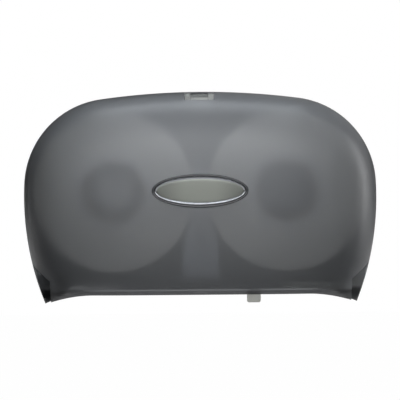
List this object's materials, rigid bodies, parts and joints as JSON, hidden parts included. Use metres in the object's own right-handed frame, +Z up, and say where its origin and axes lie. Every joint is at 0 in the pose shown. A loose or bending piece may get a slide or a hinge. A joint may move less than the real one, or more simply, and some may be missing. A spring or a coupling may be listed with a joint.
{
  "type": "jumbo toilet roll dispenser",
  "caption": "Wide wall dispenser for two side by side jumbo toilet rolls, with a smoke cover hinged at the foot and a sliding outlet shutter.",
  "frame": {"origin": "centre of the four wall screw holes on the back face, at the height of the two spindles", "axes": "+Z up, +Y into the wall so the front faces -Y, +X to the right as seen from the front"},
  "size_m": [0.51, 0.15, 0.3043],
  "materials": {
    "smoke_plastic": "clear smoke, satin gloss",
    "dark_plastic": "fine moulded texture",
    "grey_plastic": "satin",
    "light_plastic": "satin",
    "steel": "bright plated",
    "felt": "felt",
    "core_board": "plain",
    "tissue": "soft matt",
    "black_trim": "gloss",
    "bright_trim": "polished",
    "badge_face": "satin, bare"
  },
  "bodies": {
    "base": {"back_plate": "dark_plastic", "divider": "grey_plastic", "divider_screws": "steel", "left_spindle": "grey_plastic", "right_spindle": "grey_plastic", "left_spindle_screws": "steel", "right_spindle_screws": "steel", "left_brake_washer": "felt", "right_brake_washer": "felt", "left_spindle_cap": "grey_plastic", "right_spindle_cap": "grey_plastic", "left_hinge_pin": "steel", "right_hinge_pin": "steel", "latch_housing": "dark_plastic", "latch_screws": "steel", "latch_spring": "steel"},
    "left_reel": {"left_hub": "grey_plastic", "left_core": "core_board", "left_roll": "tissue"},
    "right_reel": {"right_hub": "grey_plastic", "right_core": "core_board", "right_roll": "tissue"},
    "release": {"latch_button": "light_plastic"},
    "cover": {"front_cover": "smoke_plastic", "badge_bezel": "black_trim", "badge_ring": "bright_trim", "badge_plate": "badge_face", "outlet_frame": "dark_plastic", "frame_screws": "steel", "left_tear_bar": "steel", "right_tear_bar": "steel"},
    "shutter": {"shutter": "light_plastic"}
  },
  "joints": [
    {"name": "cover_hinge", "type": "hinge", "parent": "base", "child": "cover", "pos_m": [0, -0.016, -0.154], "axis": [1, 0, 0], "range_deg": [0, 90]},
    {"name": "left_roll_spin", "type": "hinge", "parent": "base", "child": "left_reel", "pos_m": [-0.12325, 0, -0.002], "axis": [0, 1, 0], "continuous": true},
    {"name": "right_roll_spin", "type": "hinge", "parent": "base", "child": "right_reel", "pos_m": [0.12325, 0, -0.002], "axis": [0, 1, 0], "continuous": true},
    {"name": "latch_press", "type": "slide", "parent": "base", "child": "release", "axis": [0, 0, -1], "range_m": [0, 0.005], "stiffness_N_per_m": 600, "springref_m": -0.003, "deforming": ["latch_spring"]},
    {"name": "shutter_slide", "type": "slide", "parent": "cover", "child": "shutter", "axis": [1, 0, 0], "range_m": [-0.15, 0]}
  ]
}
